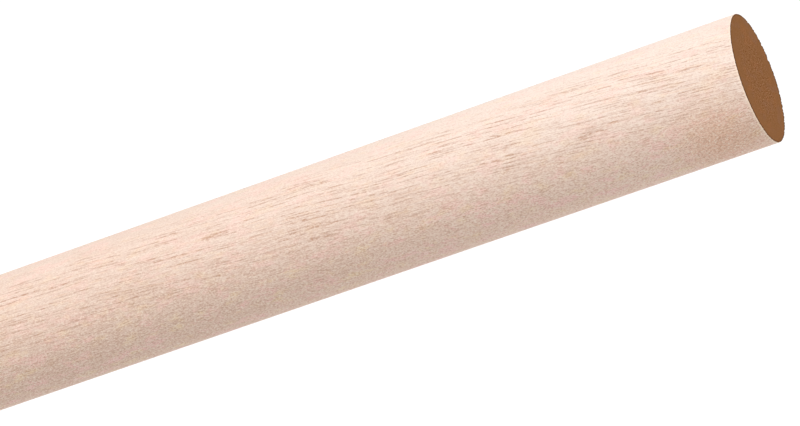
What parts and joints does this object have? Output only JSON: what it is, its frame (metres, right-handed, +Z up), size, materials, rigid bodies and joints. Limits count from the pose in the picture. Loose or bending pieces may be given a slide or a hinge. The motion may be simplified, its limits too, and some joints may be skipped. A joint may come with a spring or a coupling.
{
  "type": "wooden dowel rod",
  "caption": "Straight round wooden dowel rod with square-sawn ends and lightly sanded rims, for plugging, pinning or carrying things in round drilled holes.",
  "frame": {"origin": "centre of the lower sawn end, on the surface that the rod stands on", "axes": "+Z up along the rod's axis, from the lower sawn end to the upper one; X and Y are free, as the rod is round"},
  "size_m": [0.0254, 0.0254, 0.3048],
  "materials": {
    "wood": "bare, finely sanded pale pinkish hardwood with short dark pore lines, and a brown sawn end"
  },
  "bodies": {
    "root": {"dowel_rod": "wood"}
  },
  "joints": []
}
